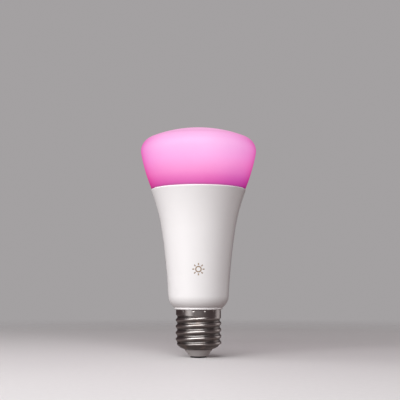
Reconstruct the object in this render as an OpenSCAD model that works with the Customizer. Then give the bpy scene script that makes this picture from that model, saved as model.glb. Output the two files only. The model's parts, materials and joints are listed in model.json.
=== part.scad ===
// Smart light bulb: opal dome, trumpet housing, Edison screw cap and the electronics inside.
// Millimetres. +Z runs along the bulb from the centre contact to the crown of the dome.
// The origin is the centre of the contact's flat face. The driver board's back faces +Y.

/* [Outline] */
// Height of the seam between housing and dome above the contact face
seam_z = 96.8; // [88:0.1:120]
// Height of the dome above the seam
dome_h = 35.6; // [30:0.1:44]
// Widest diameter of the dome
dome_d = 67.4; // [60:0.1:81]
// Outer diameter of the housing at its rim
rim_d = 55; // [50:0.1:62]
// Outer diameter of the housing just above its rounded heel
waist_d = 34.9; // [34:0.1:42]

/* [Dome] */
// Wall of the dome
dome_wall = 1.6; // [1:0.1:2.4]
// Radius of the long arc up the dome's side
dome_side_r = 104; // [70:1:160]
// Radius of the shoulder between side and crown
dome_corner_r = 8.1; // [5:0.1:12]
// Spherical radius of the crown
crown_r = 74.5; // [50:0.5:100]
// How far the dome's foot stands in from the housing's rim
dome_step = 0.2; // [0:0.05:0.6]
// Depth that the dome's spigot reaches into the housing
spigot_h = 3; // [2:0.1:4]
// Wall of the dome's spigot
spigot_wall = 1.4; // [1:0.1:2]

/* [Housing] */
// Wall of the plastic housing
housing_wall = 1.6; // [1:0.1:2.4]
// Angle of the flare at the rim, from vertical
flare_angle = 21; // [16:0.5:26]
// Share of the tighter upper flare against the longer lower one
flare_share = 0.68; // [0.4:0.02:1.2]
// Angle of the housing's side at the waist, from vertical
waist_angle = 2.9; // [1:0.1:5]
// Radius of the heel under the waist
heel_r = 8.8; // [7:0.1:10]
// Angle of the foot under the heel, from vertical
foot_angle = 46; // [40:1:60]
// Rounding of the housing's top edge
rim_round = 0.45; // [0.2:0.05:0.8]
// How far the housing's foot stands out from the neck flange
foot_step = 0.1; // [0:0.05:0.4]

/* [Screw cap] */
// Diameter over the thread's crests
thread_d = 26.2; // [26.05:0.05:31.5]
// Depth of the thread
thread_depth = 0.9; // [0.7:0.05:1]
// Pitch of the thread
pitch = 3.63; // [3.2:0.01:4.4]
// Height of the thread's crest above the contact, measured on the +X side
crest_z = 19.4; // [18.5:0.1:20.5]
// Height at which the thread has run out into the skirt
thread_top_z = 24.6; // [24:0.1:25]
// Height of the skirt's top edge above the contact face
cap_h = 27.3; // [26.8:0.1:33]
// How far the plain skirt stands in from the thread's crests
skirt_step = 0.15; // [0.05:0.05:0.25]
// Sheet thickness of the screw shell
shell_wall = 0.35; // [0.25:0.05:0.45]
// Number of crimp marks that fix the shell to the cup
crimps = 13; // [6:1:16]
// Radius of a crimp mark
crimp_r = 0.5; // [0.3:0.05:0.7]
// Place of the first crimp mark after +X, as a share of the spacing
crimp_phase = 0.3; // [0:0.05:1]
// Height of the shell's lower edge above the contact face
shell_foot_z = 4.8; // [4.2:0.1:5.4]
// Diameter of the shell's lower edge
shell_foot_d = 16.1; // [14:0.1:18]
// Height of the cone at the shell's lower end
shell_cone_h = 2; // [1.5:0.1:2.5]
// Diameter of the centre contact
contact_d = 9.4; // [8:0.1:10.4]
// Thickness of the contact's head
contact_t = 0.8; // [0.6:0.1:1.2]

/* [Driver cup] */
// Wall of the cup that insulates the driver
cup_wall = 1.2; // [0.8:0.1:1.6]
// How far the cup's visible neck flange stands out from the skirt
flange_step = 1; // [0.6:0.1:1.6]
// Height of the neck flange
flange_h = 1.15; // [0.9:0.05:2]
// How much the cup widens towards its open end
cup_flare = 2.5; // [1:0.1:2.8]

/* [Light engine] */
// Wall of the aluminium heat sink inside the housing
sink_wall = 1.2; // [0.8:0.1:1.6]
// Thickness of the mounting plate
plate_t = 2; // [1:0.1:2.2]
// Depth of the mounting plate's underside below the seam
plate_drop = 8.5; // [8:0.1:10]
// Thickness of the thermal pad
pad_t = 0.4; // [0.2:0.1:0.6]
// Thickness of the LED board
led_board_t = 1.6; // [1:0.1:1.8]
// Gap between the LED board's edge and the heat sink
led_board_gap = 0.8; // [0.5:0.1:2]
// Side of one LED package
led_w = 3; // [2.4:0.1:3.2]
// Height of one LED package
led_h = 0.7; // [0.5:0.1:1]
// Number of LEDs in the inner ring
inner_leds = 9; // [3:3:9]
// Number of LEDs in the outer ring
outer_leds = 18; // [6:6:24]
// Radius of the inner ring of LEDs
inner_ring_r = 9.7; // [9.6:0.1:10]
// Distance of the outer ring of LEDs from the board's edge
led_edge = 2.8; // [2.6:0.1:3.2]
// Radius of a screw's head
screw_head_r = 2.1; // [1.8:0.1:2.3]

/* [Radio module] */
// Width of the radio board
radio_w = 12; // [10:0.5:13]
// Thickness of the radio board
radio_t = 0.8; // [0.6:0.1:1]
// Height of the radio board's antenna end above the LED board
radio_above = 7; // [5:0.5:9]
// Depth of the radio board's lower end below the mounting plate
radio_below = 7.6; // [7:0.1:8]

/* [Driver] */
// Thickness of the driver board
board_t = 1.6; // [1:0.1:1.8]
// Distance of the driver board's middle plane behind the bulb's axis
board_y = 2.8; // [2.4:0.1:3.2]
// Diameter of the input electrolytic capacitor
bulk_cap_d = 10; // [8:0.5:10]
// Length of the input electrolytic capacitor
bulk_cap_h = 16; // [12:1:20]
// Diameter of the output electrolytic capacitor
output_cap_d = 8; // [6:0.5:8]
// Length of the output electrolytic capacitor
output_cap_h = 12; // [10:1:16]
// Width of the transformer's core
core_w = 16; // [13:0.5:16]
// Height of the transformer's core
core_h = 12; // [10:0.5:13]
// Depth of the transformer's core
core_depth = 5; // [4:0.5:6]
// Diameter of the input choke
choke_d = 8; // [6:0.5:8]
// Height of the input choke
choke_h = 8.6; // [7:0.1:9]
// Diameter of the two supply leads
lead_d = 1.2; // [0.9:0.1:1.3]

/* [Hidden] */

$fn = 96;
// Clearance between two rigid parts that slide together
fit = 0.1;
// Clearance that keeps loose inner parts from touching
gap = 0.2;
// Small overlap that joins two shapes of one solid
eps = 0.05;

function unit(angle) = [cos(angle), sin(angle)];
function arc(centre, radius, from, to, steps = 12) =
    [for (i = [0:steps]) centre + radius * unit(from + (to - from) * i / steps)];

// ---- Dome outline: side arc, shoulder and crown, each tangent to the next ----
top_z = seam_z + dome_h;
dome_foot = [rim_d / 2 - dome_step, seam_z];
crown_c = [0, top_z - crown_r];
corner_x = dome_d / 2 - dome_corner_r;
corner_c = crown_c + [corner_x, sqrt(pow(crown_r - dome_corner_r, 2) - corner_x * corner_x)];
// The side's centre lies on circles round the foot and round the shoulder's centre
foot_gap = corner_c - dome_foot;
foot_gap_l = norm(foot_gap);
foot_gap_u = foot_gap / foot_gap_l;
side_short = dome_side_r - dome_corner_r;
side_along = (pow(dome_side_r, 2) - pow(side_short, 2) + pow(foot_gap_l, 2)) / (2 * foot_gap_l);
side_across = sqrt(pow(dome_side_r, 2) - pow(side_along, 2));
side_c = dome_foot + side_along * foot_gap_u + side_across * [-foot_gap_u[1], foot_gap_u[0]];
side_from = atan2(dome_foot[1] - side_c[1], dome_foot[0] - side_c[0]);
side_to = atan2(corner_c[1] - side_c[1], corner_c[0] - side_c[0]);
shoulder_to = atan2(corner_c[1] - crown_c[1], corner_c[0] - crown_c[0]);

// The dome's outline from foot to crown, moved inwards by inset
function dome_line(inset) = concat(
    arc(side_c, dome_side_r - inset, side_from, side_to, 14),
    arc(corner_c, dome_corner_r - inset, side_to, shoulder_to, 14),
    arc(crown_c, crown_r - inset, shoulder_to, 90, 14));

// ---- Housing outline: two flares, a heel and a straight foot ----
thread_r = thread_d / 2;
root_r = thread_r - thread_depth;
skirt_r = thread_r - skirt_step;
flange_r = skirt_r + flange_step;
neck_top_z = cap_h + flange_h;
rim_r = rim_d / 2;
waist_r = waist_d / 2;
foot_r = flange_r + foot_step;
// The heel is as round as the step from waist to foot allows
heel_turn = cos(waist_angle) - cos(foot_angle);
heel = min(heel_r, (waist_r - foot_r) / heel_turn);
foot_drop = (waist_r - heel * heel_turn - foot_r) / tan(foot_angle);
waist_z = neck_top_z + foot_drop + heel * (sin(foot_angle) - sin(waist_angle));
heel_c = [waist_r, waist_z] - heel * unit(-waist_angle);
// The two flares meet in one tangent between the rim and the waist, flare_share of it above the joint
rim = [rim_r, seam_z];
waist = [waist_r, waist_z];
rim_way = -unit(90 - flare_angle);
waist_way = -unit(90 - waist_angle);
ways = flare_share * rim_way + waist_way;
span = waist - rim;
spare = pow(1 + flare_share, 2) - ways * ways;
waist_run = (sqrt(pow(span * ways, 2) + spare * (span * span)) - span * ways) / spare;
rim_run = flare_share * waist_run;
joint_way = span - rim_run * rim_way - waist_run * waist_way;
blend_angle = atan2(-joint_way[0], -joint_way[1]);
flare_r = rim_run / tan((flare_angle - blend_angle) / 2);
taper_r = waist_run / tan((blend_angle - waist_angle) / 2);
flare_c = rim + flare_r * unit(-flare_angle);
taper_c = waist + taper_r * unit(-waist_angle);

// The housing's outline from rim to heel, moved inwards by inset
function housing_line(inset) = concat(
    arc(flare_c, -(flare_r + inset), -flare_angle, -blend_angle, 16),
    arc(taper_c, -(taper_r + inset), -blend_angle, -waist_angle, 12),
    arc(heel_c, heel - inset, -waist_angle, -foot_angle, 10));
// Radius of the housing's side at height z above the waist, moved inwards by inset
function flare_at(z, inset) =
    let (joint_z = flare_c[1] + (flare_r + inset) * sin(blend_angle),
         centre = z > joint_z ? flare_c : taper_c,
         r = (z > joint_z ? flare_r : taper_r) + inset)
    centre[0] - sign(r) * sqrt(r * r - pow(z - centre[1], 2));

// ---- Levels and radii that pieces share ----
sink_inset = housing_wall + fit;
sink_bore_inset = sink_inset + sink_wall;
plate_z = seam_z - plate_drop;
pad_z = plate_z + plate_t;
led_board_z = pad_z + pad_t;
led_z = led_board_z + led_board_t;
spigot_z = seam_z - spigot_h;
seal_h = 0.7;
sink_top_z = spigot_z - seal_h;
floor_z = max(heel_c[1] - (heel - housing_wall) * sin(foot_angle), neck_top_z + housing_wall);
sink_z = waist_z + 1;
skirt_bore_r = skirt_r - shell_wall;
insulator_top_z = shell_foot_z + shell_cone_h + 0.8;
cup_foot_z = insulator_top_z + 2;
cup_foot_r = root_r - shell_wall - 0.25;
cup_foot_bore = cup_foot_r - cup_wall;
crimp_band_z = thread_top_z + 0.3;
neck_r = skirt_bore_r;
neck_bore_r = neck_r - cup_wall;
cup_low_z = waist_z + 1;
cup_low_r = waist_r - sink_bore_inset - 0.5;
cup_low_bore = cup_low_r - cup_wall;
cup_top_z = plate_z - 4.5;
cup_top_r = cup_low_r + cup_flare;
board_front = board_y - board_t / 2;
board_back = board_y + board_t / 2;
board_foot_z = cup_foot_z + 1.5;
board_shoulder_z = cup_low_z + 0.5;
board_top_z = plate_z - 3;
board_half = sqrt(pow(cup_low_bore, 2) - pow(board_back, 2)) - gap;
tongue_half = sqrt(pow(cup_foot_bore, 2) - pow(board_back, 2)) - gap;

// ---- Helpers ----
// A solid of revolution from an outline of [radius, height] points
module turned(points) {
    rotate_extrude() polygon(points);
}
// A plain ring
module ring(outer_r, inner_r, z, height) {
    translate([0, 0, z]) difference() {
        cylinder(r = outer_r, h = height);
        translate([0, 0, -1]) cylinder(r = inner_r, h = height + 2);
    }
}
// A box given by its lowest corner and its size
module box(at, size) {
    translate(at) cube(size);
}
// A box centred in X and Y that stands on z
module slab(x, y, z, size) {
    translate([x - size[0] / 2, y - size[1] / 2, z]) cube(size);
}
// A straight round rod along Y
module rod_y(x, z, from_y, to_y, radius) {
    translate([x, from_y, z]) rotate([-90, 0, 0]) cylinder(r = radius, h = to_y - from_y, $fn = 24);
}
// A straight round rod along Z
module rod_z(x, y, from_z, to_z, radius) {
    translate([x, y, from_z]) cylinder(r = radius, h = to_z - from_z, $fn = 24);
}
// A wire leg that runs down from a part and turns back to the board's front face
module leg(x, y, from_z, to_z, radius = 0.3) {
    rod_z(x, y, to_z, from_z, radius);
    translate([x, y, to_z]) sphere(r = radius, $fn = 24);
    rod_y(x, to_z, y, board_front, radius);
}
// A round tube swept along a list of points, closed at both ends
module swept(path, radius, sides = 8) {
    last = len(path) - 1;
    rings = [for (i = [0:last])
        let (ahead = path[min(i + 1, last)] - path[max(i - 1, 0)],
             along = ahead / norm(ahead),
             side = cross(along, [0, 1, 0]) / norm(cross(along, [0, 1, 0])),
             other = cross(along, side))
        for (k = [0:sides - 1]) path[i] + radius * (cos(k * 360 / sides) * side + sin(k * 360 / sides) * other)];
    walls = [for (i = [0:last - 1], k = [0:sides - 1])
        let (a = i * sides + k, b = i * sides + (k + 1) % sides)
        each [[a, a + sides, b + sides], [a, b + sides, b]]];
    ends = [[for (k = [0:sides - 1]) k], [for (k = [sides - 1:-1:0]) last * sides + k]];
    polyhedron(points = rings, faces = concat(walls, ends), convexity = 4);
}
// Points of a smooth curve through a list of chosen points
function smooth(p, steps = 4) = concat(
    [for (i = [0:len(p) - 2], s = [0:steps - 1])
        let (t = s / steps, a = p[max(i - 1, 0)], b = p[i], c = p[i + 1], d = p[min(i + 2, len(p) - 1)])
        0.5 * (2 * b + (c - a) * t + (2 * a - 5 * b + 4 * c - d) * t * t + (3 * b - a - 3 * c + d) * t * t * t)],
    [p[len(p) - 1]]);

// ---- Outside ----
module diffuser_dome() {
    spigot_top_r = flare_at(seam_z, sink_inset);
    spigot_foot_r = flare_at(spigot_z, sink_inset);
    inner = dome_line(dome_wall);
    color([0.96, 0.62, 0.87]) turned(concat(
        dome_line(0),
        [for (i = [len(inner) - 1:-1:0]) inner[i]],
        [[spigot_top_r - spigot_wall, seam_z], [spigot_foot_r - spigot_wall, spigot_z],
         [spigot_foot_r, spigot_z], [spigot_top_r, seam_z]]));
}
module seal_ring() {
    seal_r = flare_at(sink_top_z, housing_wall) - gap;
    color([0.85, 0.85, 0.82]) ring(seal_r, seal_r - spigot_wall, sink_top_z, seal_h);
}
module outer_housing() {
    rim_c = [rim_r - rim_round, seam_z - rim_round];
    skin = housing_line(0);
    cavity = housing_line(housing_wall);
    color([0.93, 0.92, 0.92]) difference() {
        turned(concat([[0, seam_z]], arc(rim_c, rim_round, 90, 0, 4),
                      [for (i = [1:len(skin) - 1]) skin[i]],
                      [[foot_r, neck_top_z], [0, neck_top_z]]));
        turned(concat([[0, seam_z + 1], cavity[0] + [0, 1]], cavity, [[0, floor_z]]));
        translate([0, 0, neck_top_z - 1]) cylinder(r = neck_r + fit, h = floor_z - neck_top_z + 2);
    }
}
module heat_sink() {
    inner = housing_line(sink_bore_inset);
    color([0.75, 0.76, 0.78]) intersection() {
        turned(concat(housing_line(sink_inset), [for (i = [len(inner) - 1:-1:0]) inner[i]]));
        translate([0, 0, sink_z]) cylinder(r = rim_r, h = sink_top_z - sink_z);
    }
}

// ---- Light engine ----
led_board_r = flare_at(plate_z, sink_bore_inset) - led_board_gap;
outer_ring_r = led_board_r - led_edge;
inner_from = 30;
// The screws stand midway between two inner LEDs and just inside the outer ring
screw_from = inner_from + 180 / inner_leds;
screw_ring_r = outer_ring_r - led_w / 2 - screw_head_r - gap;
// A slot through the plate, pad and LED board for the radio board and for the header's pins
module radio_slot(z, height) {
    slab(0, 0, z, [radio_w + 4 * fit, radio_t + 12 * fit, height]);
}
// The header stands just inside the two inner LEDs on either side of +Y
socket_d = 2.4;
inner_side = 70;
header_y = (inner_ring_r - led_w / 2) * sin(inner_side) - led_w / 2 * cos(inner_side) - socket_d / 2 - gap;
header_pitch = 1.8;
header_pins_n = 6;
header_w = header_pitch * header_pins_n;
module header_slot(z, height) {
    slab(0, header_y, z, [header_w + gap, 2, height]);
}
module screw_places() {
    for (i = [0:2]) rotate([0, 0, screw_from + 120 * i]) translate([screw_ring_r, 0, 0]) children();
}
module mounting_plate() {
    edge = sink_bore_inset + eps;
    color([0.78, 0.79, 0.8]) difference() {
        turned([[0, plate_z], [flare_at(plate_z, edge), plate_z],
                [flare_at(pad_z, edge), pad_z], [0, pad_z]]);
        radio_slot(plate_z - 1, plate_t + 2);
        header_slot(plate_z - 1, plate_t + 2);
        screw_places() translate([0, 0, plate_z - 1]) cylinder(r = 1.5, h = plate_t + 2, $fn = 32);
    }
}
module board_disc(radius, z, height, hole_r) {
    difference() {
        translate([0, 0, z]) cylinder(r = radius, h = height);
        radio_slot(z - 1, height + 2);
        header_slot(z - 1, height + 2);
        screw_places() translate([0, 0, z - 1]) cylinder(r = hole_r, h = height + 2, $fn = 32);
    }
}
module thermal_pad() {
    color([0.6, 0.63, 0.66]) board_disc(led_board_r - 0.6, pad_z, pad_t, 1.9);
}
module led_board() {
    color([0.95, 0.95, 0.94]) board_disc(led_board_r, led_board_z, led_board_t, 1.7);
}
module board_screws() {
    color([0.7, 0.7, 0.72]) screw_places() difference() {
        union() {
            translate([0, 0, plate_z - 1]) cylinder(r = 1.4, h = led_z - plate_z + 1 + eps, $fn = 32);
            translate([0, 0, led_z]) cylinder(r1 = screw_head_r, r2 = screw_head_r - 0.5, h = 1.4, $fn = 40);
        }
        for (turn = [0, 90]) rotate([0, 0, turn]) slab(0, 0, led_z + 0.6, [2.4, 0.5, 1]);
    }
}
// One LED: a square package with a round light window
module led() {
    slab(0, 0, led_z, [led_w, led_w, led_h]);
    translate([0, 0, led_z + led_h - eps]) cylinder(r = led_w * 0.4, h = 0.15 + eps, $fn = 32);
}
// Every step-th LED of a ring, counted from first, with the ring's LED number 0 at angle from
module led_ring(count, radius, from, step, first) {
    for (i = [first:step:count - 1])
        rotate([0, 0, from + i * 360 / count]) translate([radius, 0, 0]) led();
}
module outer_led_ring(step, first) {
    led_ring(outer_leds, outer_ring_r, 180 / outer_leds, step, first);
}
module inner_led_ring(step, first) {
    led_ring(inner_leds, inner_ring_r, inner_from, step, first);
}
module warm_white_leds() {
    color([1, 0.82, 0.45]) {
        outer_led_ring(3, 0);
        inner_led_ring(3, 0);
    }
}
module cool_white_leds() {
    color([1, 0.95, 0.65]) {
        outer_led_ring(3, 1);
        inner_led_ring(3, 1);
    }
}
module red_leds() {
    color([0.85, 0.1, 0.1]) outer_led_ring(6, 2);
}
module green_leds() {
    color([0.2, 0.75, 0.25]) outer_led_ring(6, 5);
}
module blue_leds() {
    color([0.15, 0.3, 0.9]) inner_led_ring(3, 2);
}
module reflector_ring() {
    foot_in = outer_ring_r + led_w / 2 + 3 * fit;
    foot_out = foot_in + 0.8;
    lip = flare_at(spigot_z, sink_inset) - spigot_wall - gap;
    lip_z = spigot_z + 1.2;
    color([0.97, 0.97, 0.97]) turned([
        [foot_in, led_z], [foot_out, led_z], [lip, lip_z - 0.8], [lip, lip_z], [lip - 0.5, lip_z]]);
}
module led_socket() {
    color([0.93, 0.93, 0.9]) difference() {
        slab(0, header_y, led_z, [header_w + 1, socket_d, 2.2]);
        for (i = [0:header_pins_n - 1])
            rod_z((i - (header_pins_n - 1) / 2) * header_pitch, header_y, led_z - 1, led_z + 3, 0.45);
    }
}
module header_pins() {
    block_z = board_top_z - 4;
    color([0.2, 0.2, 0.2]) slab(0, (board_back + header_y + 1) / 2, block_z,
                                [header_w, header_y + 1 - board_back, 2.2]);
    color([0.8, 0.7, 0.4]) for (i = [0:header_pins_n - 1])
        rod_z((i - (header_pins_n - 1) / 2) * header_pitch, header_y, block_z - 1, led_z + 2.6, 0.3);
}

// ---- Radio module ----
radio_z = plate_z - radio_below;
radio_top_z = led_z + radio_above;
module radio_board() {
    color([0.1, 0.35, 0.25]) slab(0, 0, radio_z, [radio_w, radio_t, radio_top_z - radio_z]);
}
module radio_shield() {
    shield_t = 1.6;
    color([0.8, 0.8, 0.82]) slab(0, -radio_t / 2 - shield_t / 2, radio_z + 0.8,
                                 [radio_w - 2.5, shield_t, radio_below - 1.6]);
}
// A folded strip of copper on the upper end of the radio board
module radio_antenna() {
    strip = 0.5;
    copper_t = 0.1;
    folds = 5;
    fold_w = (radio_w - 3) / folds;
    low_z = led_z + 1.5;
    high_z = radio_top_z - 1;
    face_y = -radio_t / 2 - copper_t;
    start_x = -fold_w * folds / 2;
    color([0.8, 0.5, 0.25]) {
        for (i = [0:folds])
            box([start_x + i * fold_w, face_y, low_z], [strip, copper_t, high_z - low_z]);
        for (i = [0:folds - 1])
            box([start_x + i * fold_w, face_y, i % 2 == 0 ? high_z - strip : low_z],
                [fold_w + strip, copper_t, strip]);
    }
}

// ---- Driver ----
// Two pairs of rails in the cup guide the driver board's edges
module board_rails() {
    rail_t = 1.2;
    rail_in = board_half - 1;
    for (side = [0, 1], y = [board_front - fit - rail_t, board_back + fit]) mirror([side, 0, 0])
        box([rail_in, y, board_shoulder_z + 1], [cup_top_r, rail_t, cup_top_z - board_shoulder_z - 3]);
}
module driver_cup() {
    edge_r = min(0.5, flange_h / 2.2);
    color([0.9, 0.89, 0.89]) difference() {
        union() {
            difference() {
                turned(concat(
                    [[0, cup_foot_z], [cup_foot_r, cup_foot_z], [cup_foot_r, crimp_band_z - 0.2],
                     [skirt_bore_r - eps, crimp_band_z], [skirt_bore_r - eps, cap_h], [flange_r - edge_r, cap_h]],
                    arc([flange_r - edge_r, cap_h + edge_r], edge_r, -90, 0, 5),
                    [[flange_r, neck_top_z], [neck_r, neck_top_z], [neck_r, floor_z + 1],
                     [cup_low_r, cup_low_z], [cup_top_r, cup_top_z], [0, cup_top_z]]));
                cup_bore();
            }
            intersection() {
                cup_bore(0.4);
                board_rails();
            }
        }
        // Notch for the lead that is clamped against the screw shell
        box([cup_foot_bore - 1, -lead_d / 2 - fit, cup_foot_z - 1], [cup_wall + 2, lead_d + 2 * fit, 6]);
    }
}
// The space inside the cup, widened by grow
module cup_bore(grow = 0) {
    turned([[0, cup_foot_z - 1], [cup_foot_bore + grow, cup_foot_z - 1], [cup_foot_bore + grow, crimp_band_z],
            [neck_bore_r + grow, cap_h], [neck_bore_r + grow, floor_z + 1],
            [cup_low_bore + grow, cup_low_z], [cup_top_r - cup_wall + grow, cup_top_z],
            [cup_top_r - cup_wall + grow, cup_top_z + 1 - grow], [0, cup_top_z + 1 - grow]]);
}
module driver_board() {
    color([0.12, 0.42, 0.25]) union() {
        box([-tongue_half, board_front, board_foot_z],
            [2 * tongue_half, board_t, board_shoulder_z - board_foot_z + eps]);
        box([-board_half, board_front, board_shoulder_z], [2 * board_half, board_t, board_top_z - board_shoulder_z]);
    }
}
module bridge_rectifier() {
    color([0.12, 0.12, 0.13]) slab(0, board_back + 1.25, board_foot_z + 3, [6.6, 2.5, 5]);
    color([0.75, 0.75, 0.75]) for (x = [-2.2, 2.2], z = [2.2, 8])
        slab(x, board_back + 0.4, board_foot_z + z, [1, 0.8, 0.8 + eps]);
}
module fuse_resistor() {
    x = -5.6;
    y = board_front - 2.4;
    low_z = board_foot_z + 3;
    high_z = low_z + 8;
    color([0.45, 0.6, 0.5]) {
        rod_z(x, y, low_z, high_z, 1.9);
        leg(x, y, low_z + eps, low_z - 1.4);
        mirror([0, 0, 1]) leg(x, y, -high_z + eps, -high_z - 1.4);
    }
}
module varistor() {
    x = 4.3;
    z = board_foot_z + 6.8;
    color([0.15, 0.35, 0.7]) {
        rod_y(x, z, board_front - 4, board_front - 0.6, 4.1);
        for (side = [-1, 1]) rod_y(x + side * 2, z, board_front - 0.6 - eps, board_front, 0.35);
    }
}
choke_y = board_front - choke_d / 2 - 0.6;
choke_z = thread_top_z - 2.6;
module choke_core() {
    flange_t = 1.1;
    color([0.2, 0.2, 0.22]) union() {
        rod_z(0, choke_y, choke_z, choke_z + choke_h, choke_d / 4);
        for (z = [choke_z, choke_z + choke_h - flange_t])
            translate([0, choke_y, z]) cylinder(r = choke_d / 2, h = flange_t, $fn = 48);
        for (side = [-1, 1]) rod_y(side * 2, choke_z + flange_t / 2, choke_y, board_front, 0.35);
    }
}
module choke_winding() {
    color([0.72, 0.38, 0.16]) translate([0, choke_y, 0])
        ring(choke_d / 2 - 0.4, choke_d / 4 + eps, choke_z + 1.15, choke_h - 2.3);
}
module film_capacitor() {
    size = [4.8, 3.4, 8.6];
    x = tongue_half - size[0] / 2 - 0.3;
    y = board_front - 0.5 - size[1] / 2;
    color([0.85, 0.7, 0.2]) {
        slab(x, y, choke_z + 0.2, size);
        for (dz = [1.6, 7.4]) rod_y(x, choke_z + dz, y, board_front, 0.35);
    }
}
// A capacitor can: a sleeve with a rolled groove, a crowned top and two legs back to the board
module can(x, y, z, diameter, height) {
    radius = diameter / 2;
    translate([x, y, z]) turned([
        [0, 0], [radius - 0.3, 0], [radius, 0.3], [radius, 1.2], [radius - 0.4, 1.6], [radius, 2],
        [radius, height - 0.4], [radius - 0.4, height], [0, height]]);
    for (side = [-1, 1]) leg(x + side * diameter / 4, y, z + eps, z - 1.2);
}
cans_z = board_shoulder_z + 2.2;
bulk_cap_x = -bulk_cap_d / 2 - 1;
bulk_cap_y = board_front - bulk_cap_d / 2 - 0.4;
module bulk_capacitor() {
    color([0.1, 0.12, 0.2]) can(bulk_cap_x, bulk_cap_y, cans_z, bulk_cap_d, bulk_cap_h);
}
module output_capacitor() {
    color([0.15, 0.3, 0.45]) can(output_cap_d / 2 + 1.2, board_front - output_cap_d / 2 - 0.4, cans_z,
                                 output_cap_d, output_cap_h);
}

// ---- Transformer: an E core round a wound bobbin ----
core_leg = 2.2;
centre_leg = 4;
bobbin_t = 0.6;
bobbin_depth = 12;
core_z = board_top_z - 6.5 - core_h;
core_y = board_front - bobbin_depth / 2 - 0.4;
window_w = (core_w - centre_leg) / 2 - core_leg;
window_h = core_h - 2 * core_leg;
window_z = core_z + core_leg;
bobbin_w = core_w - 2 * core_leg - 2 * gap;
module transformer_core() {
    color([0.22, 0.22, 0.24]) difference() {
        slab(0, core_y, core_z, [core_w, core_depth, core_h]);
        for (side = [-1, 1])
            slab(side * (centre_leg + window_w) / 2, core_y, window_z, [window_w, core_depth + 2, window_h]);
    }
}
module bobbin_tube(grow, z, height) {
    slab(0, core_y, z, [centre_leg + 2 * grow, core_depth + 2 * grow, height]);
}
module transformer_bobbin() {
    low_z = window_z + fit;
    height = window_h - 2 * fit;
    color([0.15, 0.15, 0.15]) difference() {
        union() {
            bobbin_tube(fit + bobbin_t, low_z, height);
            for (z = [low_z, low_z + height - bobbin_t])
                slab(0, core_y, z, [bobbin_w, bobbin_depth, bobbin_t]);
            for (side = [-1, 1], z = [low_z, low_z + height - bobbin_t])
                rod_y(side * 4, z + bobbin_t / 2, core_y + bobbin_depth / 2 - 1, board_front, 0.28);
        }
        bobbin_tube(fit, low_z - 1, height + 2);
    }
}
module transformer_winding() {
    low_z = window_z + fit + bobbin_t + eps;
    height = window_h - 2 * (fit + bobbin_t + eps);
    bulge = bobbin_depth - 2;
    color([0.9, 0.75, 0.25]) difference() {
        intersection() {
            slab(0, core_y, low_z, [bobbin_w - 0.6, bulge, height]);
            translate([0, core_y, low_z]) cylinder(r = bulge / 2 + 1.2, h = height);
        }
        bobbin_tube(fit + bobbin_t + eps, low_z - 1, height + 2);
    }
}

// ---- Parts on the driver board's back face ----
// A flat chip package with legs on both long sides
module chip(x, z, size, legs) {
    slab(x, board_back + 0.15 + size[1] / 2, z, size);
    pitch_z = size[2] / legs;
    for (i = [0:legs - 1], side = [-1, 1])
        slab(x + side * (size[0] / 2 + 0.3), board_back + 0.15, z + (i + 0.5) * pitch_z - 0.2, [0.8, 0.3, 0.4]);
}
module power_transistor() {
    color([0.14, 0.14, 0.15]) chip(-4.5, core_z + 2, [6.4, 2.2, 6], 3);
}
module controller_chip() {
    color([0.12, 0.12, 0.13]) chip(5, core_z + 2, [4, 1.5, 5], 4);
}
module optocoupler() {
    color([0.9, 0.9, 0.88]) chip(4.5, cans_z + 14, [6.4, 3.2, 4.4], 2);
}
module chip_components() {
    color([0.3, 0.24, 0.2]) for (row = [0:3], column = [0:4])
        slab((column - 2) * 4, board_back + 0.3, cans_z + 1 + row * 3, [2, 0.6, 1.25]);
}

// ---- Supply leads ----
module live_lead() {
    end_y = board_front - lead_d / 2 - eps;
    color([0.85, 0.85, 0.85]) swept(smooth([
        [0, 0, insulator_top_z + 0.9], [0, 0, insulator_top_z + 1.8], [-0.9, 0, cup_foot_z + 1.2],
        [-1.5, end_y - 0.5, board_foot_z + 0.9], [-1.6, end_y, board_foot_z + 2.6]]), lead_d / 2);
}
module neutral_lead() {
    end_y = board_front - lead_d / 2 - eps;
    clamp_x = root_r - shell_wall - lead_d / 2 - eps;
    turn_z = cup_foot_z - 1.1;
    color([0.2, 0.2, 0.22]) swept(smooth([
        [6.4, end_y, board_foot_z + 1.3], [6.7, end_y - 0.1, board_foot_z], [8, 0.7, cup_foot_z - 0.2],
        [clamp_x - 1.4, 0, turn_z], [clamp_x - 0.2, 0, turn_z + 0.5], [clamp_x, 0, cup_foot_z + 1],
        [clamp_x, 0, cup_foot_z + 4.4]]), lead_d / 2);
}

// ---- Screw cap ----
// Height of the rounded thread profile, 1 on a crest and 0 in a root, by its place t in one pitch.
// Two equal arcs that touch halfway make the profile.
wave_r = (pow(pitch / 2, 2) + pow(thread_depth, 2)) / (4 * thread_depth);
function wave(t) =
    let (u = abs(t - round(t)) * pitch, v = pitch / 2 - u)
    u < pitch / 4 ? 1 - (wave_r - sqrt(wave_r * wave_r - u * u)) / thread_depth
                  : (wave_r - sqrt(wave_r * wave_r - v * v)) / thread_depth;
// 0 below a, 1 above b and a smooth rise between them
function rise(x, a, b) = let (t = min(max((x - a) / (b - a), 0), 1)) t * t * (3 - 2 * t);
cone_top_z = shell_foot_z + shell_cone_h;
// Heights over which the thread fades into the skirt and grows out of the cone
run_out = 1.6;
run_in = 1.2;
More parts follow.
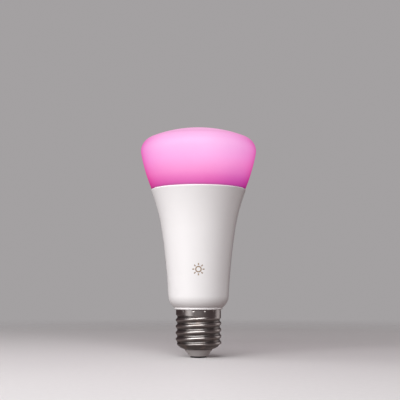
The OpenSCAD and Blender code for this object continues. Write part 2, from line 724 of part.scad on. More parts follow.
// How much the skirt is let into the thread's top ring on either face
seat = 0.03;
function shell_r(angle, z) =
    let (thread = root_r + thread_depth * wave((z - crest_z) / pitch - angle / 360),
         above = rise(z, thread_top_z - run_out, thread_top_z),
         below = 1 - rise(z, cone_top_z, cone_top_z + run_in))
    thread * (1 - above - below) + (skirt_r + seat) * above + (root_r - 0.4) * below;
function radius_on(level, angle) = level[1] > 0 ? level[1] : shell_r(angle, level[0]);
module shell_thread() {
    sides = 40;
    steps = ceil((thread_top_z - cone_top_z) / pitch * 7);
    // Each level is a height and a radius, or 0 where the thread sets the radius
    levels = concat([[shell_foot_z, shell_foot_d / 2]],
                    [for (i = [0:steps]) [cone_top_z + (thread_top_z - cone_top_z) * i / steps, 0]]);
    last = len(levels) - 1;
    function level_points(i, wall) = [for (k = [0:sides - 1])
        let (a = k * 360 / sides, r = radius_on(levels[i], a) - wall) [r * cos(a), r * sin(a), levels[i][0]]];
    outside = [for (i = [0:last]) each level_points(i, 0)];
    inside = [for (i = [0:last]) each level_points(i, shell_wall + (i == last ? 2 * seat : 0))];
    n = len(outside);
    function quad(a, b, c, d) = [[a, b, c], [a, c, d]];
    walls = [for (i = [0:last - 1], k = [0:sides - 1])
        let (a = i * sides + k, b = i * sides + (k + 1) % sides)
        each concat(quad(a, a + sides, b + sides, b), quad(n + a, n + b, n + b + sides, n + a + sides))];
    rims = [for (k = [0:sides - 1])
        let (b = (k + 1) % sides, top = last * sides)
        each concat(quad(k, b, n + b, n + k), quad(top + k, n + top + k, n + top + b, top + b))];
    polyhedron(points = concat(outside, inside), faces = concat(walls, rims), convexity = 6);
}
module screw_shell() {
    color([0.62, 0.6, 0.6]) difference() {
        union() {
            shell_thread();
            ring(skirt_r, skirt_bore_r, thread_top_z - 0.15, cap_h - thread_top_z + 0.15);
        }
        for (i = [0:crimps - 1]) rotate([0, 0, (i + crimp_phase) * 360 / crimps])
            translate([skirt_r + crimp_r * 0.5, 0, cap_h - crimp_r - 0.1]) sphere(r = crimp_r, $fn = 24);
    }
}
contact_stem_r = 1.3;
module cap_insulator() {
    neck_z = shell_foot_z - fit;
    shell_neck_r = shell_foot_d / 2 - shell_wall;
    inner_r = root_r - 0.4 - shell_wall;
    color([0.5, 0.48, 0.48]) difference() {
        turned([[0, contact_t], [contact_d / 2 + 0.5, contact_t], [shell_foot_d / 2, neck_z],
                [shell_neck_r - fit, neck_z], [shell_neck_r - fit, shell_foot_z + 0.1],
                [inner_r - 3 * fit, cone_top_z], [inner_r - 3 * fit, insulator_top_z], [0, insulator_top_z]]);
        translate([0, 0, -1]) cylinder(r = contact_stem_r + fit / 2, h = insulator_top_z + 2, $fn = 48);
    }
}
module centre_contact() {
    contact_r = contact_d / 2;
    edge_r = contact_t * 0.6;
    color([0.3, 0.29, 0.29]) turned(concat(
        [[0, 0]], arc([contact_r - edge_r, edge_r], edge_r, -90, 0, 6),
        [[contact_r, contact_t - eps], [contact_stem_r, contact_t - eps],
         [contact_stem_r, insulator_top_z + 0.8], [0, insulator_top_z + 0.8]]));
}

diffuser_dome();
seal_ring();
outer_housing();
heat_sink();
mounting_plate();
thermal_pad();
led_board();
board_screws();
warm_white_leds();
cool_white_leds();
red_leds();
green_leds();
blue_leds();
reflector_ring();
led_socket();
header_pins();
radio_board();
radio_shield();
radio_antenna();
driver_cup();
driver_board();
bridge_rectifier();
fuse_resistor();
varistor();
choke_core();
choke_winding();
film_capacitor();
bulk_capacitor();
output_capacitor();
transformer_core();
transformer_bobbin();
transformer_winding();
power_transistor();
controller_chip();
optocoupler();
chip_components();
live_lead();
neutral_lead();
screw_shell();
cap_insulator();
centre_contact();
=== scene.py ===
"""A colour-changing light bulb: glowing opal dome, white trumpet housing and nickel screw cap."""
import json
import math

import bpy
from bpy.props import FloatProperty, FloatVectorProperty, IntProperty, PointerProperty
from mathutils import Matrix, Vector

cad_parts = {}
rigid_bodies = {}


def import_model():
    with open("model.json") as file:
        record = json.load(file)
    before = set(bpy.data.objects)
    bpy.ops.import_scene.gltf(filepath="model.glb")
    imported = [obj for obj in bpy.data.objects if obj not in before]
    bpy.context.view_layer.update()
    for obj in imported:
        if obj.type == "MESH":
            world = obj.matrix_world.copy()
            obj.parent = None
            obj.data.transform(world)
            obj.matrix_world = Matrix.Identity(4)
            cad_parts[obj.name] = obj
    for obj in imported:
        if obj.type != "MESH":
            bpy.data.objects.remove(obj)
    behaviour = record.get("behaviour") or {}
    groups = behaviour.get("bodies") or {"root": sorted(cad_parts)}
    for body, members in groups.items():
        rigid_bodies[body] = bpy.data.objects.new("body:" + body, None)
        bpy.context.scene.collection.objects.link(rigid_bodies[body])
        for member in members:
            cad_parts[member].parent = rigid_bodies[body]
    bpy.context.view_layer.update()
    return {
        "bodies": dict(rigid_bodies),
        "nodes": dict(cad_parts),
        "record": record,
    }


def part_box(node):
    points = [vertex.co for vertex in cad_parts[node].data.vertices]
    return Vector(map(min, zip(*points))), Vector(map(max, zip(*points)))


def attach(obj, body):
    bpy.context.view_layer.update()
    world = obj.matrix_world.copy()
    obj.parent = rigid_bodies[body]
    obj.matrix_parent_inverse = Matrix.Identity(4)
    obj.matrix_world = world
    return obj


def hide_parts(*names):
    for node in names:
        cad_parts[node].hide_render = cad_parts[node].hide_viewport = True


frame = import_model()

bl_info = {
    "name": "Smart light bulb",
    "version": (1, 0, 0),
    "blender": (4, 5, 0),
    "location": "View3D > Sidebar > Bulb",
    "description": "Turns the dome, housing and screw cap of a light bulb and gives every piece its finish",
    "category": "Add Mesh",
}

MM = 0.001
BODY = next(iter(frame["bodies"]))
OUTSIDE = ("diffuser_dome", "outer_housing", "driver_cup", "screw_shell", "cap_insulator", "centre_contact")
METALS = ("aluminium", "steel", "brass")

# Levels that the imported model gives
TOP_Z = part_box("diffuser_dome")[1].z
SEAM_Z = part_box("outer_housing")[1].z
NECK_TOP_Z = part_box("outer_housing")[0].z
CAP_TOP_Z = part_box("screw_shell")[1].z
SHELL_FOOT_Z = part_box("screw_shell")[0].z
INSULATOR_LOW, INSULATOR_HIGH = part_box("cap_insulator")
DOME_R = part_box("diffuser_dome")[1].x
RIM_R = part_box("outer_housing")[1].x

# Points of a turned piece that lie closer than this are one point
WELD = 0.002 * MM
# Faces that meet at more than this have a sharp edge between them
SHARP = math.radians(38)
# Depth of the crimp marks' centres and of their band under the shell's top edge, in mark radii
CRIMP_DROP = 1.15
CRIMP_BAND = 2.6
# How far the shell pulls in under the last turn of the thread
SHELL_TUCK = 0.4 * MM
# The range that a noise texture seldom leaves
NOISE_RANGE = (0.3, 0.7)


def length(name, description, default_mm):
    """A size that a user can change, given in millimetres and kept in metres."""
    return FloatProperty(name=name, description=description, default=default_mm * MM, min=0.0,
                         subtype="DISTANCE", unit="LENGTH", precision=5)


def angle(name, description, default_degrees):
    """An angle that a user can change."""
    return FloatProperty(name=name, description=description, default=math.radians(default_degrees),
                         subtype="ANGLE", unit="ROTATION")


def colour(name, description, default):
    """A colour that a user can change, in linear light."""
    return FloatVectorProperty(name=name, description=description, default=default, size=3,
                               min=0.0, max=1.0, subtype="COLOR")


def share(name, description, default):
    """A share that a user can change."""
    return FloatProperty(name=name, description=description, default=default, min=0.0, subtype="FACTOR")


def power(name, description, default_watts):
    """A light's power that a user can change, in watts."""
    return FloatProperty(name=name, description=description, default=default_watts, min=0.0, unit="POWER")


# ---------------------------------------------------------------- settings

class DomeSettings(bpy.types.PropertyGroup):
    """Shape and light of the opal dome."""
    wall: length("Wall", "Thickness of the dome's wall", 1.6)
    side_r: length("Side radius", "Radius of the long arc up the dome's side", 104)
    shoulder_r: length("Shoulder radius", "Radius between side and crown", 8.1)
    crown_r: length("Crown radius", "Radius of the shallow crown", 74.5)
    foot_step: length("Foot step", "How far the foot stands in from the housing's rim", 0.2)
    foot_round: length("Foot rounding", "Rounding of the dome's foot at the seam", 0.3)
    spigot_h: length("Spigot depth", "Depth of the spigot inside the housing", 3.0)
    spigot_wall: length("Spigot wall", "Thickness of the spigot", 1.4)
    seam_glow: colour("Seam glow", "Light of the edge that meets the housing", (0.42, 0.065, 0.285))
    foot_glow: colour("Foot glow", "Light a millimetre above the seam", (0.68, 0.06, 0.42))
    low_glow: colour("Low glow", "Light an eighth of the way up", (0.84, 0.18, 0.555))
    rising_glow: colour("Rising glow", "Light a fifth of the way up", (0.94, 0.33, 0.68))
    middle_glow: colour("Middle glow", "Light a third of the way up", (1.0, 0.48, 0.82))
    bright_glow: colour("Bright glow", "Light nearly half way up", (1.0, 0.59, 0.925))
    high_glow: colour("High glow", "Light of the brightest band, under the shoulder", (1.0, 0.70, 0.985))
    shoulder_glow: colour("Shoulder glow", "Light of the shoulder", (1.0, 0.77, 1.0))
    crown_glow: colour("Crown glow", "Light where the crown starts", (0.98, 0.72, 0.95))
    top_glow: colour("Top glow", "Light of the crown", (0.955, 0.65, 0.89))
    depth_tint: colour("Depth tint", "Tint of the wall, deeper where seen at a slant", (0.91, 0.62, 0.80))
    # Side and foot shading are painted shade: they darken the glow towards the +X side, away from the lights
    # at the left
    side_shading: colour("Side drift", "How the light changes towards the +X side", (0.93, 0.84, 0.90))
    foot_shading: colour("Foot drift", "How the foot's light changes towards the +X side", (0.68, 0.79, 0.97))
    skin: colour("Opal", "Colour of the opal plastic itself", (0.14, 0.17, 0.17))


class HousingSettings(bpy.types.PropertyGroup):
    """Shape and finish of the trumpet housing and the neck ring."""
    wall: length("Wall", "Thickness of the housing's wall", 1.6)
    flare_angle: angle("Rim angle", "Angle of the flare at the rim, from vertical", 21)
    flare_share: share("Flare share", "Length of the upper flare's tangent against the lower one's", 0.68)
    waist_r: length("Waist radius", "Outer radius just above the heel", 17.45)
    waist_angle: angle("Waist angle", "Angle of the side at the waist, from vertical", 2.9)
    heel_r: length("Heel radius", "Radius of the heel under the waist", 8.8)
    foot_r: length("Foot radius", "Outer radius of the foot over the neck ring", 14.05)
    foot_angle: angle("Foot angle", "Angle of the foot under the heel, from vertical", 46)
    rim_round: length("Rim rounding", "Rounding of the top edge", 0.6)
    bore_r: length("Neck bore", "Radius of the hole for the driver cup", 12.7)
    skin: colour("White", "Colour of the satin plastic", (0.86, 0.845, 0.85))
    print_ink: colour("Ink", "Colour of the printed mark", (0.30, 0.20, 0.12))


class CapSettings(bpy.types.PropertyGroup):
    """Shape and finish of the screw cap."""
    sheet: length("Sheet", "Thickness of the rolled sheet", 0.35)
    skirt_r: length("Skirt radius", "Outer radius of the plain skirt", 12.95)
    root_r: length("Root radius", "Outer radius in the thread's roots", 12.2)
    depth: length("Thread depth", "Height of the crests over the roots", 0.9)
    pitch: length("Pitch", "Distance from crest to crest", 3.63)
    crest_z: length("Crest height", "Height of a crest above the contact, on the +X side", 19.4)
    top_z: length("Thread top", "Height at which the thread has run out", 23.55)
    run_out: length("Run-out", "Height over which the thread fades into the skirt", 0.5)
    run_out_tilt: length("Run-out tilt", "How much lower the thread runs out on the +X side", 0.85)
    run_in: length("Run-in", "Height over which the thread grows out of the cone", 1.2)
    cone_h: length("Cone height", "Height of the cone under the thread", 2.0)
    foot_r: length("Foot radius", "Outer radius of the shell's lower edge", 8.05)
    crimps: IntProperty(name="Crimp marks", description="Number of punched marks round the skirt",
                        default=13, min=1)
    crimp_phase: share("Crimp phase", "Place of the first mark after +X, in spacings", 0.3)
    crimp_r: length("Crimp radius", "Radius of a punched mark", 0.62)
    crimp_depth: length("Crimp depth", "Depth of a punched mark", 0.22)
    contact_r: length("Contact radius", "Radius of the centre contact", 4.7)
    nickel: colour("Nickel", "Colour of the plated sheet", (0.44, 0.412, 0.40))
    vitrite: colour("Insulator", "Colour of the insulating cone", (0.52, 0.50, 0.495))
    # The contact's near-black is painted shade: the metal disc stands in the shadow under the cap
    contact: colour("Contact", "Colour of the centre contact", (0.008, 0.0075, 0.0075))


class StageSettings(bpy.types.PropertyGroup):
    """Floor, lights and camera."""
    floor: colour("Floor", "Colour of the floor", (0.80, 0.78, 0.785))
    backdrop: colour("Backdrop", "Colour behind the floor", (0.37, 0.355, 0.36))
    ambient: colour("Ambient", "Dim light from the sides and above", (0.066, 0.045, 0.048))
    ambient_low: colour("Low ambient", "Dim light from below", (0.24, 0.20, 0.195))
    key_power: power("Key strip", "Power of the upright strip at the left", 0.88)
    front_power: power("Front light", "Power of the wide light above the viewer", 6.3)
    side_power: power("Side light", "Power of the light far at the left", 1.9)
    edge_power: power("Edge light", "Power of the strip behind the bulb at the right", 0.42)
    edge_tint: colour("Edge tint", "Colour of the edge light", (1.0, 0.95, 0.95))
    lens: FloatProperty(name="Lens", description="Focal length of the camera, in millimetres",
                        default=76.36, min=1.0, unit="CAMERA")
    eye_x: FloatProperty(name="Camera side step", description="Camera's place to the right of the axis",
                         default=0.87 * MM, unit="LENGTH")
    eye_back: length("Camera distance", "Distance of the camera from the bulb's axis", 493.0)
    eye_z: length("Camera height", "Height of the camera over the floor", 39.64)
    eye_pitch: angle("Camera pitch", "How far the camera looks up", 5.91)


class BulbSettings(bpy.types.PropertyGroup):
    """Every size and colour of the bulb."""
    dome: PointerProperty(type=DomeSettings)
    housing: PointerProperty(type=HousingSettings)
    cap: PointerProperty(type=CapSettings)
    stage: PointerProperty(type=StageSettings)


# ---------------------------------------------------------------- node helpers

class Signal:
    """An output socket of a node tree that can be added, multiplied and so on."""

    def __init__(self, tree, socket):
        self.tree = tree
        self.socket = socket

    def math(self, operation, *others):
        """The result of a math node with this signal as its first input."""
        node = self.tree.nodes.new("ShaderNodeMath")
        node.operation = operation
        for slot, value in zip(node.inputs, (self, *others)):
            feed(self.tree, slot, value)
        return Signal(self.tree, node.outputs[0])

    def __add__(self, other):
        return self.math("ADD", other)

    def __sub__(self, other):
        return self.math("SUBTRACT", other)

    def __mul__(self, other):
        return self.math("MULTIPLY", other)

    def __truediv__(self, other):
        return self.math("DIVIDE", other)


def feed(tree, slot, value):
    """Links a signal to an input, or sets a plain value on it."""
    if isinstance(value, Signal):
        tree.links.new(value.socket, slot)
    else:
        slot.default_value = value


def add(tree, kind, inputs=None, **settings):
    """Adds a node with its settings and feeds its inputs, named or numbered."""
    node = tree.nodes.new(kind)
    for name, value in settings.items():
        setattr(node, name, value)
    for name, value in (inputs or {}).items():
        feed(tree, node.inputs[name], value)
    return node


def out(tree, node, name=0):
    """One output of a node as a signal."""
    return Signal(tree, node.outputs[name])


def ease(tree, value, low, high, to_low=0.0, to_high=1.0):
    """A smooth rise from to_low at low to to_high at high."""
    node = add(tree, "ShaderNodeMapRange",
               {"Value": value, "From Min": low, "From Max": high, "To Min": to_low, "To Max": to_high},
               interpolation_type="SMOOTHSTEP")
    return out(tree, node, "Result")


def xyz(tree, vector):
    """The three parts of a vector."""
    node = add(tree, "ShaderNodeSeparateXYZ", {0: vector})
    return [out(tree, node, i) for i in range(3)]


def new_tree(name, kind, inputs, outputs):
    """A node tree with named inputs and outputs, as (tree, its inputs by name, its output node)."""
    tree = bpy.data.node_groups.new(name, kind)
    for in_out, sockets in (("INPUT", inputs), ("OUTPUT", outputs)):
        for label, socket_kind, *default in sockets:
            kind_name = "NodeSocket" + socket_kind
            socket = tree.interface.new_socket(label, in_out=in_out, socket_type=kind_name)
            if default:
                socket.default_value = default[0]
    start = tree.nodes.new("NodeGroupInput")
    end = tree.nodes.new("NodeGroupOutput")
    return tree, {label: out(tree, start, label) for label, *_ in inputs}, end


# ---------------------------------------------------------------- outlines, as (radius, height) points

def unit(turn):
    """The way that points at an angle from the radius towards the height."""
    return Vector((math.cos(turn), math.sin(turn)))


def arc(centre, radius, start, end, steps):
    """Points along an arc from the angle start to the angle end."""
    return [centre + radius * unit(start + (end - start) * i / steps) for i in range(steps + 1)]


def dome_arcs(dome):
    """Side, shoulder and crown of the dome's outside: centre, radius and the two angles of each."""
    foot = Vector((RIM_R - dome.foot_step, SEAM_Z))
    crown_c = Vector((0, TOP_Z - dome.crown_r))
    shoulder_x = DOME_R - dome.shoulder_r
    rise = math.sqrt((dome.crown_r - dome.shoulder_r) ** 2 - shoulder_x ** 2)
    shoulder_c = crown_c + Vector((shoulder_x, rise))
    # The side's centre lies on circles round the foot and round the shoulder's centre
    gap = shoulder_c - foot
    side_less_shoulder = dome.side_r - dome.shoulder_r
    along = (dome.side_r ** 2 - side_less_shoulder ** 2 + gap.length_squared) / (2 * gap.length)
    across = math.sqrt(dome.side_r ** 2 - along ** 2)
    side_c = foot + along * gap.normalized() + across * Vector((-gap.y, gap.x)).normalized()
    low = math.atan2(foot.y - side_c.y, foot.x - side_c.x)
    middle = math.atan2(shoulder_c.y - side_c.y, shoulder_c.x - side_c.x)
    high = math.atan2(shoulder_c.y - crown_c.y, shoulder_c.x - crown_c.x)
    return ((side_c, dome.side_r, low, middle), (shoulder_c, dome.shoulder_r, middle, high),
            (crown_c, dome.crown_r, high, math.pi / 2))


def dome_outline(dome, housing):
    """From the crown down the outside, round the spigot and up the inside to the crown again."""
    arcs = dome_arcs(dome)
    clearance = 0.15 * MM

    def skin(inset):
        return [point for centre, radius, start, end in arcs
                for point in arc(centre, radius - inset, start, end, steps=28)]

    outside = skin(0)[::-1]
    foot = outside[-1]
    outside = [p for p in outside if p.y > foot.y + dome.foot_round]
    foot_c = foot + Vector((-dome.foot_round, dome.foot_round))
    outside += arc(foot_c, dome.foot_round, 0, -math.pi / 2, steps=5)
    inside = [p for p in skin(dome.wall) if p.y > SEAM_Z + dome.wall / 2]
    spigot_r = RIM_R - housing.wall - clearance
    lean = dome.spigot_h * math.tan(housing.flare_angle)
    foot_z = SEAM_Z - dome.spigot_h
    spigot = [Vector((spigot_r, SEAM_Z)), Vector((spigot_r - lean, foot_z)),
              Vector((spigot_r - lean - dome.spigot_wall, foot_z)),
              Vector((spigot_r - dome.spigot_wall, SEAM_Z))]
    return outside + spigot + inside


def housing_outline(housing):
    """From the rim down the outside, under the foot and up the inside to the rim again."""
    foot_round, lip_drop = 0.15 * MM, 0.3 * MM
    a_rim, a_waist, a_foot = housing.flare_angle, housing.waist_angle, housing.foot_angle
    drop = housing.waist_r - housing.foot_r - housing.heel_r * (math.cos(a_waist) - math.cos(a_foot))
    waist_z = NECK_TOP_Z + drop / math.tan(a_foot) + housing.heel_r * (math.sin(a_foot) - math.sin(a_waist))
    corner = housing.rim_round
    corner_c = Vector((RIM_R - corner, SEAM_Z - corner))
    rim, waist = corner_c + corner * unit(-a_rim), Vector((housing.waist_r, waist_z))
    heel_c = waist - housing.heel_r * unit(-a_waist)
    # Two flares that meet in one tangent
    rim_way, waist_way = -unit(math.pi / 2 - a_rim), -unit(math.pi / 2 - a_waist)
    ways = housing.flare_share * rim_way + waist_way
    span = waist - rim
    spare = (1 + housing.flare_share) ** 2 - ways.dot(ways)
    waist_run = (math.sqrt(span.dot(ways) ** 2 + spare * span.dot(span)) - span.dot(ways)) / spare
    rim_run = housing.flare_share * waist_run
    joint_way = span - rim_run * rim_way - waist_run * waist_way
    a_joint = math.atan2(-joint_way.x, -joint_way.y)
    flare_r = rim_run / math.tan((a_rim - a_joint) / 2)
    taper_r = waist_run / math.tan((a_joint - a_waist) / 2)
    flare_c, taper_c = rim + flare_r * unit(-a_rim), waist + taper_r * unit(-a_waist)

    def skin(inset):
        return (arc(flare_c, -(flare_r + inset), -a_rim, -a_joint, steps=30)
                + arc(taper_c, -(taper_r + inset), -a_joint, -a_waist, steps=24)[1:]
                + arc(heel_c, housing.heel_r - inset, -a_waist, -a_foot, steps=20)[1:])

    edge = arc(corner_c, corner, math.pi / 2, -a_rim, steps=12)
    outside = skin(0)[1:]
    foot_c = Vector((housing.foot_r - foot_round, NECK_TOP_Z + foot_round))
    foot = arc(foot_c, foot_round, -a_foot, -math.pi / 2, steps=4)
    cavity = skin(housing.wall)
    bore = [Vector((housing.bore_r, NECK_TOP_Z)), Vector((housing.bore_r, cavity[-1].y))]
    inside = [p for p in cavity[::-1] if p.y < SEAM_Z - lip_drop]
    lip = [Vector((cavity[0].x, SEAM_Z))]
    return lip + edge + outside + foot + bore + inside + lip


def smoothstep(value, low, high):
    """A smooth rise from 0 at low to 1 at high."""
    t = min(max((value - low) / (high - low), 0), 1)
    return t * t * (3 - 2 * t)


def shell_rows(cap):
    """Rows of the screw shell from its top edge down the outside and up the inside, before the skirt
    is widened. Each is a radius, a height, its share of the thread and its share of the crimp marks."""
    lip = 0.12 * MM
    cone_top = SHELL_FOOT_Z + cap.cone_h
    crimp_foot = CAP_TOP_Z - CRIMP_BAND * cap.crimp_r
    fade_top = cap.top_z + cap.run_out_tilt
    fade_foot = cap.top_z - cap.run_out - cap.run_out_tilt

    def row(z, inset=0, crimped=0):
        below = 1 - smoothstep(z, cone_top, cone_top + cap.run_in)
        return cap.root_r - SHELL_TUCK * below - inset, z, 1 - below, crimped

    def levels(start, end, step):
        count = max(1, round(abs(end - start) / step))
        return [start + (end - start) * i / count for i in range(count + 1)]

    # Rows lie close by the crimp marks and where the thread runs out, and further apart elsewhere
    outer = ([row(z, crimped=1) for z in levels(CAP_TOP_Z - lip, crimp_foot, step=0.11 * MM)]
             + [row(z) for z in levels(crimp_foot, fade_top, step=0.6 * MM)[1:]]
             + [row(z) for z in levels(fade_top, fade_foot, step=0.11 * MM)[1:]]
             + [row(z) for z in levels(fade_foot, cone_top, step=0.17 * MM)[1:]])
    inner = ([(cap.foot_r - cap.sheet, SHELL_FOOT_Z, 0, 0),
              (cap.root_r - SHELL_TUCK - cap.sheet, cone_top, 0, 0)]
             + [row(z, cap.sheet) for z in levels(cone_top, fade_foot, step=0.36 * MM)[1:]]
             + [row(z, cap.sheet) for z in levels(fade_foot, fade_top, step=0.2 * MM)[1:]]
             + [row(CAP_TOP_Z - lip, cap.sheet)])
    cone = bulged_cone(Vector((outer[-1][0], cone_top)), Vector((cap.foot_r, SHELL_FOOT_Z)))
    edge = [(cap.root_r - cap.sheet / 2, CAP_TOP_Z, 0, 0)]
    return edge + outer + cone + inner + edge


def bulged_cone(top, foot):
    """Rows of the shell's slightly bulging cone, from under its top to its foot."""
    bulge, steps = 0.32 * MM, 6
    out_way = Vector((top.y - foot.y, foot.x - top.x)).normalized()
    rows = []
    for i in range(1, steps + 1):
        point = top.lerp(foot, i / steps) + out_way * bulge * math.sin(math.pi * i / steps)
        rows.append((point.x, point.y, 0, 0))
    return rows


def insulator_outline(cap):
    """The insulating cone from its stem hole over its top, down its side and back under its foot."""
    stem_r, gap, ledge, edge_r = 1.35 * MM, 0.1 * MM, 0.5 * MM, 0.45 * MM
    edge_inset = 0.75 * edge_r
    low_z, high_z, wide_r = INSULATOR_LOW.z, INSULATOR_HIGH.z, INSULATOR_HIGH.x
    foot_r = cap.contact_r + ledge
    neck_z = SHELL_FOOT_Z - gap
    neck_r = cap.foot_r - cap.sheet - gap
    lean = math.atan2(cap.foot_r - foot_r, neck_z - low_z)
    foot_c = Vector((foot_r - edge_inset, low_z + edge_r))
    above = [(stem_r, high_z), (wide_r, high_z), (wide_r, SHELL_FOOT_Z + cap.cone_h),
             (neck_r, SHELL_FOOT_Z + gap), (neck_r, neck_z),
             (cap.foot_r - gap, neck_z), (cap.foot_r, neck_z - gap)]
    below = [(stem_r, low_z), (stem_r, high_z)]
    return above + arc(foot_c, edge_r, -lean, -math.pi / 2, steps=8) + below


def contact_outline(cap):
    """The centre contact from its stem's top down and round the edge of its disc."""
    stem_r, gap = 1.3 * MM, 0.02 * MM
    top_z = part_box("centre_contact")[1].z
    thick = INSULATOR_LOW.z - gap
    edge_c = Vector((cap.contact_r - thick / 2, thick / 2))
    edge = arc(edge_c, thick / 2, math.pi / 2, -math.pi / 2, steps=12)
    return [(0, top_z), (stem_r, top_z), (stem_r, thick)] + edge + [(0, 0)]


# ---------------------------------------------------------------- Geometry Nodes

def grid_round_axis(tree, geometry, segments):
    """A grid with a row for each point of the outline: (grid, index of the row, share of the turn)."""
    count = add(tree, "GeometryNodeAttributeDomainSize", {0: geometry}, component="MESH")
    columns = segments + 1.0
    rows = out(tree, count, "Point Count")
    grid = add(tree, "GeometryNodeMeshGrid", {"Vertices X": rows, "Vertices Y": columns})
    index = out(tree, add(tree, "GeometryNodeInputIndex"))
    row = (index / columns).math("FLOOR")
    turn = (index - row * columns) / segments
    return out(tree, grid, "Mesh"), row, turn


def sampled(tree, geometry, row, field, data_type):
    """The value of a field at one point of the outline."""
    node = add(tree, "GeometryNodeSampleIndex", {"Geometry": geometry, "Value": field, "Index": row},
               data_type=data_type, domain="POINT")
    return out(tree, node)


def close_and_dress(tree, end, grid, radius, turn_angle, height, material):
    """Bends the grid round the axis, welds it shut, marks its sharp edges and gives it its material."""
    place = add(tree, "ShaderNodeCombineXYZ", {0: radius * turn_angle.math("COSINE"),
                                               1: radius * turn_angle.math("SINE"), 2: height})
    bent = add(tree, "GeometryNodeSetPosition", {"Geometry": grid, "Position": out(tree, place)})
    weld = add(tree, "GeometryNodeMergeByDistance", {"Geometry": out(tree, bent), "Distance": WELD})
    smooth = add(tree, "GeometryNodeSetShadeSmooth", {0: out(tree, weld)}, domain="FACE")
    bend = out(tree, add(tree, "GeometryNodeInputMeshEdgeAngle"), "Unsigned Angle")
    sharp = add(tree, "GeometryNodeSetShadeSmooth",
                {0: out(tree, smooth), 1: bend.math("GREATER_THAN", SHARP), 2: False}, domain="EDGE")
    real = add(tree, "GeometryNodeRealizeInstances", {0: out(tree, sharp)})
    dressed = add(tree, "GeometryNodeSetMaterial", {"Geometry": out(tree, real), "Material": material})
    feed(tree, end.inputs["Geometry"], out(tree, dressed))


def turned_wall_tree():
    """Turns an outline into a closed wall of revolution."""
    tree, given, end = new_tree(
        "Turned wall", "GeometryNodeTree",
        [("Outline", "Geometry"), ("Segments", "Int"), ("Material", "Material")],
        [("Geometry", "Geometry")])
    grid, row, turn = grid_round_axis(tree, given["Outline"], given["Segments"])
    position = out(tree, add(tree, "GeometryNodeInputPosition"))
    radius, _, height = xyz(tree, sampled(tree, given["Outline"], row, position, "FLOAT_VECTOR"))
    close_and_dress(tree, end, grid, radius, turn * math.tau, height, given["Material"])
    return tree


def screw_shell_tree():
    """Turns rows into a rolled screw shell: a helical thread and a ring of punched crimp marks."""
    tree, given, end = new_tree(
        "Rolled screw shell", "GeometryNodeTree",
        [("Rows", "Geometry"), ("Segments", "Int"), ("Pitch", "Float"), ("Thread Depth", "Float"),
         ("Crest Height", "Float"), ("Skirt Rise", "Float"), ("Thread Top", "Float"), ("Run-out", "Float"),
         ("Run-out Tilt", "Float"), ("Crimps", "Int"), ("Crimp Phase", "Float"), ("Crimp Radius", "Float"),
         ("Crimp Depth", "Float"), ("Crimp Height", "Float"), ("Crowding", "Float", 0.68),
         ("Material", "Material")],
        [("Geometry", "Geometry")])
    grid, row, turn = grid_round_axis(tree, given["Rows"], given["Segments"])
    position = out(tree, add(tree, "GeometryNodeInputPosition"))
    base, _, height = xyz(tree, sampled(tree, given["Rows"], row, position, "FLOAT_VECTOR"))

    def weight(name):
        field = out(tree, add(tree, "GeometryNodeInputNamedAttribute", {"Name": name}, data_type="FLOAT"))
        return sampled(tree, given["Rows"], row, field, "FLOAT")

    # Columns crowd together at the crimp marks
    sweep = given["Crimps"] * turn * math.tau
    crowded = turn - given["Crowding"] * sweep.math("SINE") / (given["Crimps"] * math.tau)
    turn_angle = (crowded + given["Crimp Phase"] / given["Crimps"]) * math.tau

    # Two equal arcs that touch halfway make the thread's profile
    pitch, depth = given["Pitch"], given["Thread Depth"]
    place = (height - given["Crest Height"]) / pitch - turn_angle / math.tau
    off_crest = (place - place.math("ROUND")).math("ABSOLUTE") * pitch
    off_root = pitch * 0.5 - off_crest
    wave_r = ((pitch * 0.5).math("POWER", 2.0) + depth.math("POWER", 2.0)) / (depth * 4.0)

    def sag(distance):
        return wave_r - (wave_r.math("POWER", 2.0) - distance.math("POWER", 2.0)).math("SQRT")

    on_crest = off_crest.math("LESS_THAN", pitch * 0.25)
    lift = on_crest * (depth - sag(off_crest)) + (on_crest * -1.0 + 1.0) * sag(off_root)

    mark = (turn_angle / math.tau) * given["Crimps"] - given["Crimp Phase"]
    aside = (mark - mark.math("ROUND")) * math.tau / given["Crimps"] * base
    up = height - given["Crimp Height"]
    reach = (aside.math("POWER", 2.0) + up.math("POWER", 2.0)).math("SQRT")
    dent = ease(tree, reach, given["Crimp Radius"], 0.0) * given["Crimp Depth"]

    # The thread ends in a plain skirt, lower on one side than on the other
    tilted = height + given["Run-out Tilt"] * turn_angle.math("COSINE")
    skirt = ease(tree, tilted, given["Thread Top"] - given["Run-out"], given["Thread Top"])
    thread = lift * weight("thread") * (skirt * -1.0 + 1.0)
    radius = base + skirt * given["Skirt Rise"] + thread - dent * weight("crimp")
    close_and_dress(tree, end, grid, radius, turn_angle, height, given["Material"])
    return tree


def turned_piece(name, points, tree_name, values, weights=None):
    """Runs an outline through a tree and returns the result as a plain, closed mesh object."""
    tree = shared_tree(tree_name)
    outline = bpy.data.meshes.new(name)
    outline.from_pydata([(r, 0, z) for r, z in points], [], [])
    for label, numbers in (weights or {}).items():
        outline.attributes.new(label, "FLOAT", "POINT").data.foreach_set("value", numbers)
    piece = bpy.data.objects.new(name, outline)
    bpy.context.scene.collection.objects.link(piece)
    modifier = piece.modifiers.new("Turning", "NODES")
    modifier.node_group = tree
    sockets = {item.name: item.identifier for item in tree.interface.items_tree if item.in_out == "INPUT"}
    for label, value in values.items():
        modifier[sockets[label]] = value
    bpy.context.view_layer.update()
    mesh = bpy.data.meshes.new_from_object(piece.evaluated_get(bpy.context.evaluated_depsgraph_get()))
    piece.modifiers.remove(modifier)
    piece.data = mesh
    if not mesh.polygons:
        raise RuntimeError(f"{name} came out empty")
    return piece


# ---------------------------------------------------------------- shader groups

